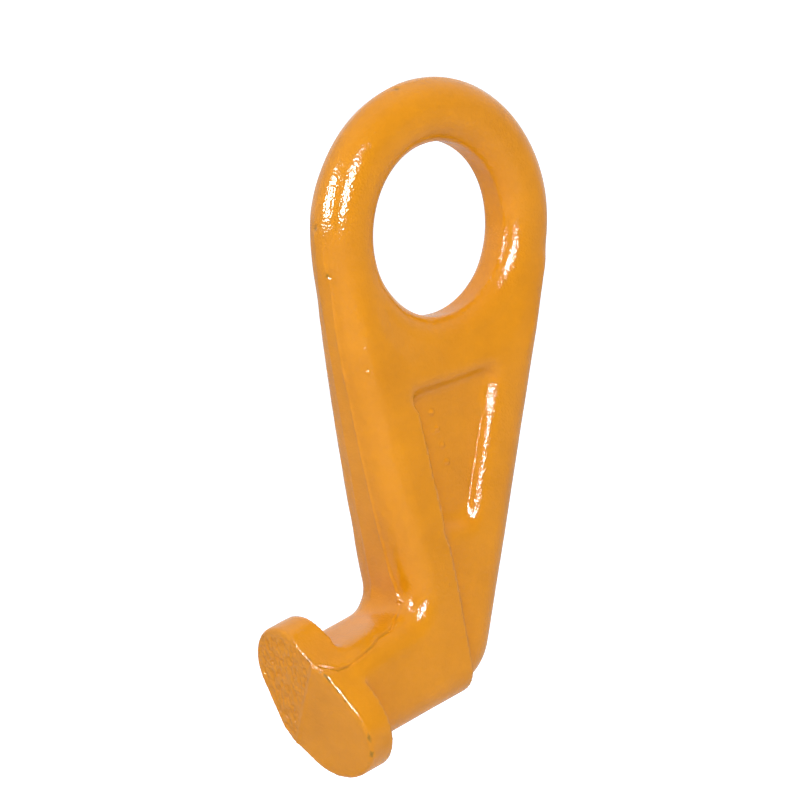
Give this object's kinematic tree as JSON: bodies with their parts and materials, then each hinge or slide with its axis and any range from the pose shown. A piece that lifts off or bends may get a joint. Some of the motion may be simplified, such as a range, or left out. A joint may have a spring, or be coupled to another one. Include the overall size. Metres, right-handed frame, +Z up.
{
  "type": "container lifting hook",
  "caption": "Forged lifting hook with a round eye, a long plate with a deep rib, and a turned T-head on a short neck that hooks a container corner fitting.",
  "frame": {"origin": "centre of the eye, in the middle of its thickness", "axes": "+Z up the hook from the head to the top of the eye, +Y along the eye's bore to the back face, +X to the right of a viewer in front, away from the head"},
  "size_m": [0.1264, 0.0532, 0.2589],
  "materials": {
    "yellow_enamel": "gloss"
  },
  "bodies": {
    "root": {"forged_hook": "yellow_enamel"}
  },
  "joints": []
}
